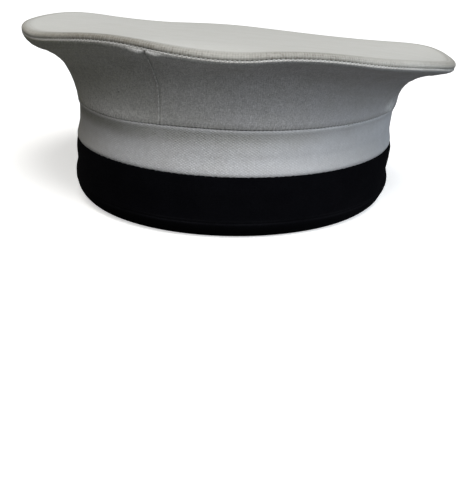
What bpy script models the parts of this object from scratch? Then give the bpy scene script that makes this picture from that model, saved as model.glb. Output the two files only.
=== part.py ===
"""A sailor cap without a peak: a round wavy crown on an oval band, standing on its lower edge.

Metres, +Z up. The front faces -Y, the wearer's left is +X, and the cap stands on z = 0.
An azimuth is 0 at the front and grows towards the wearer's left.
The origin is on that floor, under the centre of the crown.
"""

import math
from collections import namedtuple

import bmesh
import bpy

# The black band round the head, over its outer face
BAND_LENGTH = 0.206
BAND_WIDTH = 0.181
BAND_HEIGHT = 0.034
BAND_WALL = 0.0014
BAND_SET_BACK = 0.002  # the band's centre lies this far behind the crown's

# The white rise above it, which goes down inside the black band
RISE_WALL = 0.0014
SEAM_HEIGHT = 0.058  # the seam between the rise and the crown's side

# The crown's side, in four quarters
SIDE_WALL = 0.0018
QUARTERS = (
    # name, azimuth where it starts; each covers a quarter turn
    ("quarter_front_left", 0),
    ("quarter_back_left", 90),
    ("quarter_back_right", 180),
    ("quarter_front_right", 270),
)
SIDE_LEAN = 0.19  # how far the side leans out as it leaves the seam, per metre of height
RIM_SLOPE = 60.0  # degrees from level at which the side meets the rim, on average
RIM_SLOPE_SWING = 15.0  # degrees steeper or flatter than that, round the cap
STEEPEST_AZIMUTH = -104.0
RIM_HOLD = 0.17  # the share of the flare, next to the rim, that follows that slope
SIDE_EDGE_IN = 0.0012  # the side's upper edge, inside the rim line and below it
SIDE_EDGE_DOWN = 0.001
CROWN_TWIST = 1.2  # degrees that the crown is turned on the band

# The rim line is where the top, the welt and the sides are sewn together
RIM_RADIUS = 0.1226
RIM_HEIGHT = 0.0869
WELT_RADIUS = 0.0008

# The top, and the padded roll round its edge
TOP_THICKNESS = 0.0024
TOP_ABOVE_RIM = 0.0045  # the top's face above the rim line
ROLL_CENTRE_IN = 0.0012  # the middle of the roll, inside the rim line and above it
ROLL_CENTRE_UP = 0.00285
ROLL_REACH = 0.0026  # half the roll's width, to its outermost line
ROLL_HALF_HEIGHT = 0.00175
ROLL_STEPS = 8

# Gaps that keep the pieces apart
SEAM_GAP = 0.0006  # between two quarters
LEVEL_GAP = 0.0004  # between the rise and the quarters

TURN_STEPS = 72  # divisions round the cap
SIDE_STEPS = 9  # divisions up the crown's side

# How the rim rises and falls: each row is one even wave round the cap.
Wave = namedtuple("Wave", "per_turn height crest_azimuth")
RIM_WAVES = (
    Wave(1, 0.01105, 0),  # the front stands up, the back hangs down
    Wave(2, 0.00056, 50),
    Wave(3, 0.00131, 24),
    Wave(4, 0.00032, 70),
    Wave(5, 0.00133, 57),
    Wave(7, 0.00043, 42),
    Wave(8, 0.00049, 35),
)

# The black band's section, from its upper edge down to the fold and up the turned-in hem.
# outset is measured from the band's own oval.
BandRow = namedtuple("BandRow", "height outset")
BAND_ROWS = (
    BandRow(BAND_HEIGHT, 0.0),
    BandRow(0.026, 0.0005),
    BandRow(0.018, 0.0005),
    BandRow(0.010, 0.0005),
    BandRow(0.006, -0.0006),
    BandRow(0.003, -0.0028),
    BandRow(0.0, -0.0060),
    BandRow(0.0, -0.0096),
    BandRow(0.004, -0.0072),
    BandRow(0.011, -0.0031),
)

# The rise's outer face, from inside the black band up to the seam. It puffs out over the
# band's edge, is drawn in at the middle and leans out again to the seam.
RiseRow = namedtuple("RiseRow", "height half_length half_width")
RISE_ROWS = (
    RiseRow(0.0125, 0.1012, 0.0887),
    RiseRow(0.0342, 0.1011, 0.0886),
    RiseRow(0.037, 0.1024, 0.0899),
    RiseRow(0.042, 0.1017, 0.0890),
    RiseRow(0.048, 0.1012, 0.0892),
    RiseRow(0.053, 0.1007, 0.0901),
    RiseRow(SEAM_HEIGHT - LEVEL_GAP / 2, 0.1002, 0.0914),
)

# The rings of the top's upper face and of its under face, as shares of the rim's radius
TOP_RINGS = (0.2, 0.4, 0.58, 0.72, 0.83, 0.91, 0.963)
UNDER_RINGS = (0.963, 0.85, 0.68, 0.45, 0.2)

# name, colour, roughness
WHITE_CLOTH = ("white_cloth", (0.62, 0.62, 0.60, 1), 0.8)
WELT_CLOTH = ("welt_cloth", (0.66, 0.65, 0.61, 1), 0.75)
WHITE_TWILL = ("white_twill", (0.66, 0.67, 0.68, 1), 0.8)
BLACK_CLOTH = ("black_cloth", (0.012, 0.012, 0.016, 1), 0.9)


def clear_scene():
    for old in list(bpy.data.objects):
        bpy.data.objects.remove(old, do_unlink=True)


def cloth_material(finish):
    name, colour, roughness = finish
    material = bpy.data.materials.get(name) or bpy.data.materials.new(name)
    material.use_nodes = True
    shader = material.node_tree.nodes["Principled BSDF"]
    shader.inputs["Base Color"].default_value = colour
    shader.inputs["Roughness"].default_value = roughness
    shader.inputs["Metallic"].default_value = 0.0
    material.diffuse_color = colour
    return material


def on_oval(azimuth, half_width, half_length, height):
    """A point of the oval with these half sizes. The azimuth is in degrees."""
    turn = math.radians(azimuth)
    return (half_width * math.sin(turn), -half_length * math.cos(turn), height)


def rim_wave(azimuth, share):
    """The height that the waves add at this share of the rim's radius.

    The top is stretched over the rim, so a wave with n crests dies away towards
    the middle as the nth power of that share.
    """
    return sum(
        wave.height
        * share**wave.per_turn
        * math.cos(wave.per_turn * math.radians(azimuth - wave.crest_azimuth))
        for wave in RIM_WAVES
    )


def rim_height(azimuth):
    return RIM_HEIGHT + rim_wave(azimuth, 1.0)


def bezier(ends_and_handles, share):
    """A cubic curve's value, from its start, two handles and end."""
    start, first, second, end = ends_and_handles
    left = 1 - share
    return (
        start * left**3
        + 3 * first * share * left**2
        + 3 * second * share**2 * left
        + end * share**3
    )


def side_point(azimuth, climb):
    """The outer face of the crown's side, from the rise seam (climb 0) to the rim (climb 1).

    It leaves the seam nearly upright and bends outwards more and more, as one cubic curve.
    """
    seam = RISE_ROWS[-1]
    seam_height = SEAM_HEIGHT + LEVEL_GAP / 2
    edge_radius = RIM_RADIUS - SIDE_EDGE_IN
    edge_height = rim_height(azimuth + CROWN_TWIST) - SIDE_EDGE_DOWN
    rise = edge_height - seam_height
    turn = math.radians(azimuth)
    flare = math.hypot(
        (edge_radius - seam.half_width) * math.sin(turn),
        (edge_radius - seam.half_length) * math.cos(turn),
    )
    slope = RIM_SLOPE + RIM_SLOPE_SWING * math.cos(
        math.radians(azimuth - STEEPEST_AZIMUTH)
    )
    drop = RIM_HOLD * flare * math.tan(math.radians(slope))
    out = bezier((0, SIDE_LEAN * rise / flare, 1 - RIM_HOLD, 1), climb)
    height = bezier((seam_height, edge_height, edge_height - drop, edge_height), climb)
    x, y, z = on_oval(
        azimuth + CROWN_TWIST * out,
        seam.half_width + out * (edge_radius - seam.half_width),
        seam.half_length + out * (edge_radius - seam.half_length),
        height,
    )
    return (x, y + BAND_SET_BACK * (1 - out), z)


def skin(name, rows, finish, around=False, first_tip=None, last_tip=None):
    """A mesh object through rows of points that all have the same count.

    The rows follow the section up an outer face, inwards over a top face and outwards
    along an under face, and each row goes round in growing azimuth, so that the faces
    point outwards. around joins each row's end to its start. A tip is a point that closes
    the first or the last row with a fan.
    """
    mesh = bmesh.new()
    grid = [[mesh.verts.new(point) for point in row] for row in rows]
    steps = len(rows[0]) if around else len(rows[0]) - 1
    for below, above in zip(grid, grid[1:]):
        for i in range(steps):
            j = (i + 1) % len(below)
            mesh.faces.new((below[i], below[j], above[j], above[i]))
    for row, tip, turned in ((grid[0], first_tip, True), (grid[-1], last_tip, False)):
        if tip is None:
            continue
        centre = mesh.verts.new(tip)
        for i in range(steps):
            j = (i + 1) % len(row)
            pair = (row[j], row[i]) if turned else (row[i], row[j])
            mesh.faces.new((*pair, centre))
    data = bpy.data.meshes.new(name)
    mesh.to_mesh(data)
    mesh.free()
    data.shade_smooth()
    piece = bpy.data.objects.new(name, data)
    data.materials.append(cloth_material(finish))
    return piece


def thicken(piece, wall):
    """Gives an open surface its wall, inwards from the face that was drawn."""
    solidify = piece.modifiers.new("wall", "SOLIDIFY")
    solidify.thickness = wall
    solidify.offset = -1
    solidify.use_even_offset = True
    return piece


def turn_azimuths():
    return [360 * i / TURN_STEPS for i in range(TURN_STEPS)]


def make_crown_top():
    """The stretched top with the padded roll round its edge, one closed loft.

    Its section runs outwards along the under face, up round the roll and back in over the top.
    """

    def face_ring(share, above_rim):
        radius = share * RIM_RADIUS
        level = RIM_HEIGHT + above_rim
        return [
            on_oval(a, radius, radius, level + rim_wave(a, share))
            for a in turn_azimuths()
        ]

    def roll_ring(angle):
        radius = RIM_RADIUS - ROLL_CENTRE_IN + ROLL_REACH * math.cos(angle)
        up = ROLL_CENTRE_UP + ROLL_HALF_HEIGHT * math.sin(angle)
        return [on_oval(a, radius, radius, rim_height(a) + up) for a in turn_azimuths()]

    under = TOP_ABOVE_RIM - TOP_THICKNESS
    rows = [face_ring(share, under) for share in reversed(UNDER_RINGS)]
    for i in range(ROLL_STEPS + 1):
        rows.append(roll_ring(math.pi * (i / ROLL_STEPS - 0.5)))
    rows += [face_ring(share, TOP_ABOVE_RIM) for share in reversed(TOP_RINGS)]
    return skin(
        "crown_top",
        rows,
        WHITE_CLOTH,
        around=True,
        first_tip=(0, 0, RIM_HEIGHT + under),
        last_tip=(0, 0, RIM_HEIGHT + TOP_ABOVE_RIM),
    )


def make_rim_welt():
    """The thin welt along the rim line, a round cord covered in cloth."""
    curve = bpy.data.curves.new("rim_welt", "CURVE")
    curve.dimensions = "3D"
    curve.bevel_depth = WELT_RADIUS
    curve.bevel_resolution = 1
    path = curve.splines.new("POLY")
    path.points.add(TURN_STEPS - 1)
    for point, azimuth in zip(path.points, turn_azimuths()):
        place = on_oval(azimuth, RIM_RADIUS, RIM_RADIUS, rim_height(azimuth))
        point.co = (*place, 1)
    path.use_cyclic_u = True
    curve.materials.append(cloth_material(WELT_CLOTH))
    return bpy.data.objects.new("rim_welt", curve)


def make_quarter(name, start):
    """One quarter of the crown's flared side, between two upright seams."""
    margin = math.degrees(SEAM_GAP / BAND_LENGTH)  # half the gap, at half the band's length
    steps = TURN_STEPS // len(QUARTERS)
    span = 360 / len(QUARTERS) - 2 * margin
    azimuths = [start + margin + span * i / steps for i in range(steps + 1)]
    rows = [
        [side_point(a, i / SIDE_STEPS) for a in azimuths] for i in range(SIDE_STEPS + 1)
    ]
    return thicken(skin(name, rows, WHITE_CLOTH), SIDE_WALL)


def make_rise_band():
    """The white twill ring between the black band and the crown's side."""
    rows = [
        [on_oval(a, row.half_width, row.half_length, row.height) for a in turn_azimuths()]
        for row in RISE_ROWS
    ]
    piece = thicken(skin("rise_band", rows, WHITE_TWILL, around=True), RISE_WALL)
    piece.location.y = BAND_SET_BACK
    return piece


def make_cap_band():
    """The black cloth ring, with its lower edge folded flat and turned up inside."""
    rows = [
        [
            on_oval(
                a,
                BAND_WIDTH / 2 + row.outset,
                BAND_LENGTH / 2 + row.outset,
                row.height,
            )
            for a in turn_azimuths()
        ]
        for row in reversed(BAND_ROWS)
    ]
    piece = thicken(skin("cap_band", rows, BLACK_CLOTH, around=True), BAND_WALL)
    piece.location.y = BAND_SET_BACK
    return piece


def main():
    clear_scene()
    collection = bpy.data.collections.new("sailor_cap")
    bpy.context.scene.collection.children.link(collection)
    stand = bpy.data.objects.new("sailor_cap", None)
    collection.objects.link(stand)
    pieces = [make_crown_top(), make_rim_welt(), make_rise_band(), make_cap_band()]
    pieces += [make_quarter(name, start) for name, start in QUARTERS]
    for piece in pieces:
        collection.objects.link(piece)
        piece.parent = stand


main()
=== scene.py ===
# Sailor cap without a peak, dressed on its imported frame. Lengths are metres unless a note says mm.
import math

import bpy
import numpy as np
from mathutils import Matrix, Vector


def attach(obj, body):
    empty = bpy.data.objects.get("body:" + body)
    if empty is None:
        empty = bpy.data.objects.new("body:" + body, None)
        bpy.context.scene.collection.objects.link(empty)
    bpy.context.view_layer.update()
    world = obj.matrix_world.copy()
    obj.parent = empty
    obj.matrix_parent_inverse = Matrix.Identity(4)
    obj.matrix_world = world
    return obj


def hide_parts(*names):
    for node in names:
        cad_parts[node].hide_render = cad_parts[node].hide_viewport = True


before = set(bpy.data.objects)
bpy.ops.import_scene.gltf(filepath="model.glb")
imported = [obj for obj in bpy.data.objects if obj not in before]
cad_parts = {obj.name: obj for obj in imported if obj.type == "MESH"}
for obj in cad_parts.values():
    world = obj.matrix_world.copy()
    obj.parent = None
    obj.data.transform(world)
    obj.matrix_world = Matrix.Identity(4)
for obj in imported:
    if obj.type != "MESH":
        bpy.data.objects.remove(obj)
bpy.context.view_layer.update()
print("frame loaded with", len(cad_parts), "nodes")

mm = 0.001
tau = 2 * math.pi
join = np.concatenate

# The forms that all pieces share. An azimuth is in degrees, 0 at the front and growing to +X.
cap = {
    "rimRadius": 0.1226,
    "rimHeight": 0.0869,
    "topAboveRim": 0.0045,
    "seamHeight": 0.058,
    "seamHalfWidth": 0.0914,
    "seamHalfLength": 0.1002,
    "bandSetBack": 0.002,
    "crownTwist": 1.2,
    "stitchesRound": 342,  # one stitch every 2.25 mm of the rim
    "samplesPerStitch": 5,
    "seamStitches": 274,  # one stitch every 2.2 mm of the level seam
    # where wear has stretched the cloth: azimuth, height in mm, half width in degrees, half
    # height in mm, size in mm
    "stretched": ((112, 45, 42, 15, 0.9), (-66, 54, 40, 9, -0.75), (-14, 58, 15, 7, 1.3)),
    "seamDrop": (2.35 * mm, -60.0, 52.0),  # how far the level seam sags, where, and half its width
}
# crests to a turn, height, azimuth of a crest
rimWaves = (
    ((1, 0.01105, 0), (2, 0.00056, 50), (3, 0.00131, 24), (4, 0.00032, 70))
    + ((5, 0.00133, 57), (7, 0.00043, 42), (8, 0.00049, 35))
)
# small dips and crests of the rim's edge in mm, every 5 degrees from -30 to 90
rimDips = (
    (0.0, -0.16, -0.33, -0.39, -0.23, -0.12, -0.09, -0.15, -0.2, -0.33, -0.48, -0.5, 0.22)
    + (0.28, 0.16, -0.15, -0.4, -0.66, -0.55, -0.33, -0.22, -0.15, -0.08, -0.04, 0.0)
)


def turnFrom(azimuth, middle):
    # degrees away from the middle, between -180 and 180
    return (azimuth - middle + 180) % 360 - 180


def rimWave(azimuth, share):
    # the sum over the waves of height * share^n * cos(n * (azimuth - crest)), and the small dips
    # of the edge, which fade inwards as share^12
    waves = sum(
        height * share**n * np.cos(n * np.radians(azimuth - crest))
        for n, height, crest in rimWaves
    )
    return waves + np.interp(turnFrom(azimuth, 0), dipAzimuth, dipHeight) * share**12


def stacked(*parts):
    return np.stack(np.broadcast_arrays(*parts), axis=-1)


def onOval(azimuth, halfWidth, halfLength, height):
    # x = half width * sin(azimuth), y = -half length * cos(azimuth), z = height
    turn = np.radians(azimuth)
    return stacked(halfWidth * np.sin(turn), -halfLength * np.cos(turn), height)


def onRim(azimuth, out, up):
    # points moved outwards and up from the rim line
    reach = cap["rimRadius"] + out
    return onOval(azimuth, reach, reach, cap["rimHeight"] + rimWave(azimuth, 1.0) + up)


def ovalNormal(azimuth, halfWidth, halfLength):
    # level and square to the oval: (sin / half width, -cos / half length, 0), made one long
    turn = np.radians(azimuth)
    return unit(stacked(np.sin(turn) / halfWidth, -np.cos(turn) / halfLength, 0.0))


def bell(distance, width):
    # 1 at distance 0, falling off as exp(-(distance / width)^2)
    return np.exp(-((distance / width) ** 2))


def bump(at, size, middle, width):
    # size * bell(distance from the middle)
    return size * bell(at - middle, width)


def ripple(azimuth, height, terms):
    # the sum of size * sin(turns * azimuth + rise * height + start)
    return sum(
        size * np.sin(turns * np.radians(azimuth) + rise * height + start)
        for size, turns, rise, start in terms
    )


def seamDrop(azimuth):
    # the sag of the level seam: drop * exp(-(degrees away / half width)^4)
    drop, middle, halfWidth = cap["seamDrop"]
    return drop * np.exp(-((turnFrom(azimuth, middle) / halfWidth) ** 4))


def spotSum(azimuth, spots):
    # the sum over the spots of size * bell(degrees away)
    return sum(size * bell(turnFrom(azimuth, at), halfWidth) for at, halfWidth, size in spots)


def spared(azimuth, spots):
    # the product over the spots of 1 - size * bell(degrees away)
    left = 1.0
    for spot in spots:
        left = left * (1 - spotSum(azimuth, [spot]))
    return left


def lumpSum(azimuth, height, lumps):
    # the sum over the lumps of size * bell(degrees away) * bell(height away)
    return sum(
        spotSum(azimuth, [(at, halfAngle, size)]) * bell(height - heightAt, halfHeight)
        for at, heightAt, halfAngle, halfHeight, size in lumps
    )


def smoothed(values, width):
    # a running mean weighted by a bell, width in samples; the ends keep their values
    reach = int(3 * width)
    weights = np.exp(-0.5 * (np.arange(-reach, reach + 1) / width) ** 2)
    before = 2 * values[0] - values[reach:0:-1]
    after = 2 * values[-1] - values[-2 : -reach - 2 : -1]
    return np.convolve(join([before, values, after]), weights / weights.sum(), "valid")


def softTable(at, fine, rows, values, width):
    # the table's values at the places asked for, with its corners rounded off
    return np.interp(at, fine, smoothed(np.interp(fine, rows, values), width))


dipAzimuth = np.arange(-180.0, 181.0)
dipRows = np.linspace(-30, 90, len(rimDips))
dipHeight = softTable(dipAzimuth, dipAzimuth, dipRows, rimDips, 1.7) * mm


def evenTurn(count, shift=0.0):
    # azimuths at even steps round the cap
    return (np.arange(count) + shift) * 360 / count


def unit(vectors):
    return vectors / np.linalg.norm(vectors, axis=-1, keepdims=True)


def stitchWave(turns):
    # 1 at each stitch, where the turns are whole, and 0 between them
    return 0.5 + 0.5 * np.cos(tau * turns)


def addObject(name, data):
    made = bpy.data.objects.new(name, data)
    bpy.context.scene.collection.objects.link(made)
    return made


def gridQuads(rowSteps, columnSteps, rowCount, columnCount):
    # the corners of each quad as rows and columns, and as numbers of points
    r, c = [a.ravel() for a in np.mgrid[0:rowSteps, 0:columnSteps]]
    corners = ((r, c), (r, c + 1), (r + 1, c + 1), (r + 1, c))
    numbers = [(a % rowCount) * columnCount + b % columnCount for a, b in corners]
    return corners, np.stack(numbers, 1)


def layGrid(name, points, uv, roundClosed=True, sectionClosed=False, tips=(), shades=None):
    # rows run up or along the section and columns round the cap, so that the quads point
    # outwards; tips close the first and last row with a fan, and a closed section that doesn't
    # run all the way round gets its two ends filled
    rowCount, columnCount = points.shape[:2]
    rowSteps = rowCount if sectionClosed else rowCount - 1
    columnSteps = columnCount if roundClosed else columnCount - 1
    corners, quads = gridQuads(rowSteps, columnSteps, rowCount, columnCount)
    quadUv = np.stack([uv[a, b] for a, b in corners], 1)
    vertices = points.reshape(-1, 3)
    if sectionClosed and not roundClosed:
        k = np.arange(rowCount // 2 - 1)
        ends = np.stack([k, k + 1, rowCount - 2 - k, rowCount - 1 - k], 1)
        for column, order in ((0, (0, 3, 2, 1)), (columnCount - 1, (0, 1, 2, 3))):
            quads = join([quads, ends[:, order] * columnCount + column])
            quadUv = join([quadUv, uv[ends[:, order], column]])
    triangles = np.zeros((0, 3), int)
    triangleUv = np.zeros((0, 3, 2))
    i = np.arange(columnSteps)
    for tip, row, pair in zip(tips, (0, rowCount - 1), ((i + 1, i), (i, i + 1))):
        fan = [row * columnCount + a % columnCount for a in pair]
        fan = fan + [np.full(columnSteps, len(vertices))]
        fanUv = [uv[row, a] for a in pair]
        fanUv = fanUv + [(fanUv[0] + fanUv[1]) / 2]
        triangles = join([triangles, np.stack(fan, 1)])
        triangleUv = join([triangleUv, np.stack(fanUv, 1)])
        vertices = join([vertices, np.array(tip, float)[None]])
    return layMesh(name, vertices, quads, triangles, quadUv, triangleUv, shades)


def layMesh(name, vertices, quads, triangles, quadUv, triangleUv, shades=None):
    loops = join([quads.ravel(), triangles.ravel()])
    starts = join([4 * np.arange(len(quads)), 4 * len(quads) + 3 * np.arange(len(triangles))])
    mesh = bpy.data.meshes.new(name)
    for part, key, values, kind in (
        (mesh.vertices, "co", vertices, np.float32),
        (mesh.loops, "vertex_index", loops, np.int32),
        (mesh.polygons, "loop_start", starts, np.int32),
    ):
        part.add(len(values))
        part.foreach_set(key, values.astype(kind).ravel())
    mesh.update(calc_edges=True)
    layer = mesh.uv_layers.new(name="weave")
    spread = join([quadUv.reshape(-1, 2), triangleUv.reshape(-1, 2)])
    layer.data.foreach_set("uv", spread.astype(np.float32).ravel())
    for key, values in (shades or {}).items():
        held = np.zeros(len(vertices), np.float32)
        held[: values.size] = np.clip(values, 0, 1).ravel()
        mesh.attributes.new(key, "FLOAT", "POINT").data.foreach_set("value", held)
    mesh.validate()
    mesh.shade_smooth()
    return addObject(name, mesh)


def roundUv(azimuth, walked, perDegree):
    # the weave map in mm: once round the cap, and along the section
    return stacked(join([azimuth, [360.0]])[None] * perDegree, walked)


def runLength(points):
    # the distance walked from the first row to each, in mm
    steps = np.linalg.norm(np.diff(points, axis=0), axis=-1)
    return np.cumsum(join([np.zeros_like(steps[:1]), steps]), axis=0) / mm


def layRing(name, azimuth, points, perDegree, shades):
    # a closed section all the way round, centred where the band is
    points[..., 1] += cap["bandSetBack"]
    walked = join([runLength(points)[:, :1], [[0.0]]])
    uv = roundUv(azimuth, walked, perDegree)
    return layGrid(name, points, uv, sectionClosed=True, shades=shades)


def place(piece, slot, finish, *nodes):
    piece.data.materials.append(finish)
    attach(piece, "root")
    if nodes:
        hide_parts(*nodes)
    return piece


def startFinish(name):
    material = bpy.data.materials.new(name)
    material.use_nodes = True
    return material, material.node_tree, material.node_tree.nodes["Principled BSDF"]


def feed(tree, node, inputs):
    # each input takes a link or a value
    for key, value in inputs.items():
        if isinstance(value, bpy.types.NodeSocket):
            tree.links.new(value, node.inputs[key])
        else:
            node.inputs[key].default_value = value


def addNode(tree, kind, inputs=None, **settings):
    made = tree.nodes.new("ShaderNode" + kind)
    for key, value in settings.items():
        setattr(made, key, value)
    feed(tree, made, inputs or {})
    return made


def times(tree, value, factor, added=0.0, **settings):
    # value * factor + added
    inputs = {0: value, 1: factor, 2: added}
    return addNode(tree, "Math", inputs, operation="MULTIPLY_ADD", **settings).outputs[0]


def fromTo(tree, value, low, high, toLow=0.0, toHigh=1.0):
    # a soft step from one range to the other
    inputs = {"Value": value, 1: low, 2: high, 3: toLow, 4: toHigh}
    return addNode(tree, "MapRange", inputs, interpolation_type="SMOOTHSTEP").outputs[0]


def attribute(tree, name):
    return addNode(tree, "Attribute", attribute_name=name).outputs["Fac"]


def noise(tree, vector, scale, detail=2.0, roughness=0.5):
    inputs = {"Vector": vector, "Scale": scale, "Detail": detail, "Roughness": roughness}
    return addNode(tree, "TexNoise", inputs).outputs["Fac"]


def tinted(tree, factor, first, second, blend="MIX"):
    inputs = {0: factor, 6: first, 7: second}
    for index in (6, 7):
        if not isinstance(inputs[index], bpy.types.NodeSocket):
            inputs[index] = (*inputs[index], 1.0)
    return addNode(tree, "Mix", inputs, data_type="RGBA", blend_type=blend).outputs[2]


def clothFinish(name, **changes):
    # threads are even waves over the weave map and streaks are stretched noise on it; their sum
    # lifts the surface and shades it; wider noise adds fuzz, uneven thread and worn places; marks,
    # which paint grime, yellowing, painted shade and painted light, show most between the threads,
    # and a rubbed weave shows less
    look = {**whiteCloth, **changes}
    material, tree, shader = startFinish(name)
    place3d = addNode(tree, "TexCoord").outputs["Object"]
    uvMap = addNode(tree, "UVMap", uv_map="weave").outputs["UV"]
    split = addNode(tree, "SeparateXYZ", {0: uvMap})
    wander = noise(tree, place3d, look["wanderScale"], 1.0)
    wander = times(tree, wander, look["wander"], -0.5 * look["wander"])
    weave = 0.0
    for along, up, strength in look["threads"]:
        phase = times(tree, split.outputs["X"], along * tau, wander)
        phase = times(tree, split.outputs["Y"], up * tau, phase)
        thread = addNode(tree, "Math", {0: phase}, operation="SINE")
        weave = times(tree, thread.outputs[0], strength, weave)
    for along, up, strength in look["streaks"]:
        inputs = {0: uvMap, 1: (along, up, 1.0)}
        scaled = addNode(tree, "VectorMath", inputs, operation="MULTIPLY")
        streak = noise(tree, scaled.outputs[0], 1.0, 2.0, 0.6)
        weave = times(tree, fromTo(tree, streak, 0.3, 0.7, -1.0), strength, weave)
    uneven = noise(tree, place3d, look["unevenScale"], 3.0, 0.65)
    weave = times(tree, weave, fromTo(tree, uneven, 0.25, 0.75, 0.35, 1.45))
    rubbed = attribute(tree, "rubbed")
    weave = times(tree, weave, times(tree, rubbed, -1.0, 1.0))
    fuzz = noise(tree, place3d, look["fuzzScale"], 4.0, 0.7)
    height = times(tree, weave, look["relief"] * mm)
    height = times(tree, fuzz, look["fuzz"] * mm, height)
    lift = addNode(tree, "Bump", {"Strength": 1.0, "Distance": 1.0, "Height": height})
    blotch = noise(tree, place3d, look["blotchScale"], 4.0, 0.65)
    worn = fromTo(tree, blotch, 0.3, 0.72)
    shade = times(tree, weave, look["threadShade"], 1.0)
    smooth = times(tree, rubbed, look["rubsOff"], 1.0)
    speckled = times(tree, times(tree, fuzz, 1.0, -0.5), smooth)
    shade = times(tree, shade, times(tree, speckled, look["grain"], 1.0))
    shade = times(tree, shade, times(tree, uneven, look["mottle"], 1.0 - 0.5 * look["mottle"]))
    grey = addNode(tree, "CombineColor", {0: shade, 1: shade, 2: shade}).outputs[0]
    colour = tinted(tree, worn, look["colour"], look["worn"])
    between = times(tree, weave, -look["markInWeave"], 1.0)
    patchy = fromTo(tree, uneven, 0.25, 0.7, look["markPatchy"])
    # the marks paint grime, yellowing, painted shade and painted light
    for key, dark in look["marks"]:
        mark = times(tree, attribute(tree, key), between)
        colour = tinted(tree, times(tree, mark, patchy, use_clamp=True), colour, dark)
    colour = tinted(tree, 1.0, colour, grey, "MULTIPLY")
    if look["specks"]:
        inputs = {"Vector": place3d, "Scale": look["speckScale"]}
        cells = addNode(tree, "TexVoronoi", inputs).outputs
        pick = addNode(tree, "SeparateColor", {0: cells["Color"]}).outputs[0]
        inputs = {0: pick, 1: 1.0 - look["specks"]}
        chosen = addNode(tree, "Math", inputs, operation="GREATER_THAN").outputs[0]
        dot = fromTo(tree, cells["Distance"], 0.02, 0.055, 0.75, 0.0)
        colour = tinted(tree, times(tree, dot, chosen), colour, look["speckColour"])
    inputs = {
        "Base Color": colour,
        "Normal": lift.outputs[0],
        "Roughness": fromTo(tree, blotch, 0.3, 0.7, *look["roughness"]),
        "Sheen Weight": look["sheen"],
        "Sheen Roughness": look["sheenRoughness"],
        "Sheen Tint": (*look["sheenTint"], 1.0),
        "Specular IOR Level": look["specular"],
    }
    feed(tree, shader, inputs)
    return material


whiteCloth = {
    "colour": (0.525, 0.52, 0.53),
    "worn": (0.485, 0.48, 0.475),
    "roughness": (0.72, 0.85),
    "sheen": 0.04,
    "sheenRoughness": 0.5,
    "sheenTint": (1.0, 1.0, 1.0),
    "specular": 0.3,
    "threads": ((0.85, 0.05, 0.45), (0.0, 1.05, 0.25)),  # turns per mm along and up, strength
    "streaks": ((1.6, 0.35, 1.0), (0.4, 0.35, 0.7)),
    "wander": 4.0,
    "wanderScale": 90.0,
    "relief": 0.014,
    "threadShade": 0.075,
    "markInWeave": 0.2,
    "markPatchy": 0.65,  # a mark is this strong where the cloth takes it least
    "unevenScale": 420.0,
    "fuzz": 0.08,
    "fuzzScale": 1300.0,
    "grain": 1.7,
    "rubsOff": -0.9,  # the grain fades with the weave where the cloth is rubbed
    "mottle": 0.25,
    "blotchScale": 60.0,
    # the marks: grime with painted shade, yellowing, painted light, and painted shade in the needle
    # holes, seams and grooves
    "marks": (
        ("grimeAndShade", (0.25, 0.247, 0.215)),
        ("yellowed", (0.50, 0.50, 0.42)),
        ("paintedLight", (0.80, 0.795, 0.78)),
        ("recessShade", (0.12, 0.115, 0.105)),
    ),
    "specks": 0.2,
    "speckScale": 85.0,
    "speckColour": (0.16, 0.15, 0.14),
}
quarterFinish = clothFinish("quarter_white_cloth")
twillFinish = clothFinish(
    "rise_white_twill",
    colour=(0.615, 0.62, 0.635),
    worn=(0.58, 0.58, 0.585),
    threads=((0.445, 0.76, 0.8), (-0.42, 0.78, 0.8)),
    streaks=((1.7, 1.7, 0.6), (0.4, 0.4, 0.2)),
    wander=1.6,
    relief=0.03,
    threadShade=0.092,
    grain=1.1,
    rubsOff=-0.7,
    specks=0.06,
)
topFinish = clothFinish(
    "crown_satin_cloth",
    colour=(0.768, 0.762, 0.727),
    worn=(0.738, 0.732, 0.692),
    roughness=(0.5, 0.6),
    specular=0.4,
    threads=((0.77, 0.0, 0.5), (0.0, 0.8, 0.4)),
    streaks=((0.7, 0.7, 0.6),),
    wander=1.6,
    relief=0.010,
    threadShade=0.014,
    markInWeave=0.18,
    markPatchy=0.82,
    grain=0.12,
    mottle=0.0,
    # grime with painted shade on the roll, and painted shade in the needle holes and groove
    marks=(("grimeAndShade", (0.245, 0.229, 0.195)), ("recessShade", (0.13, 0.125, 0.115))),
    specks=0.03,
)
weltFinish = clothFinish(
    "welt_white_cloth",
    colour=(0.80, 0.79, 0.76),
    worn=(0.68, 0.67, 0.635),
    threads=((0.9, 0.7, 1.0),),
    relief=0.01,
    threadShade=0.08,
    grain=0.2,
    # greyer places on the welt, and painted shade in the hollows of the twisted cord
    marks=(("grimeAndShade", (0.38, 0.37, 0.33)), ("recessShade", (0.30, 0.29, 0.265))),
    specks=0.0,
)
threadFinish = clothFinish(
    "white_thread",
    colour=(0.76, 0.76, 0.74),
    worn=(0.68, 0.68, 0.66),
    threads=((3.0, 3.0, 1.0),),
    grain=0.2,
    streaks=(),
    relief=0.01,
    marks=(),
    specks=0.0,
)
blackFinish = clothFinish(
    "band_black_cloth",
    colour=(0.0018, 0.0018, 0.0028),
    worn=(0.003, 0.003, 0.0042),
    roughness=(0.9, 1.0),
    sheen=0.008,
    sheenRoughness=0.35,
    sheenTint=(0.75, 0.78, 1.0),
    specular=0.04,
    threads=((1.1, 0.0, 0.6), (0.0, 1.1, 0.6)),
    streaks=((0.6, 0.6, 0.6),),
    wander=1.4,
    relief=0.02,
    threadShade=0.12,
    fuzz=0.09,
    grain=0.8,
    marks=(("hem", (0.012, 0.012, 0.015)),),
    specks=0.03,
    speckScale=70.0,
    speckColour=(0.10, 0.10, 0.10),
)
print("finishes made")

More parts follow.
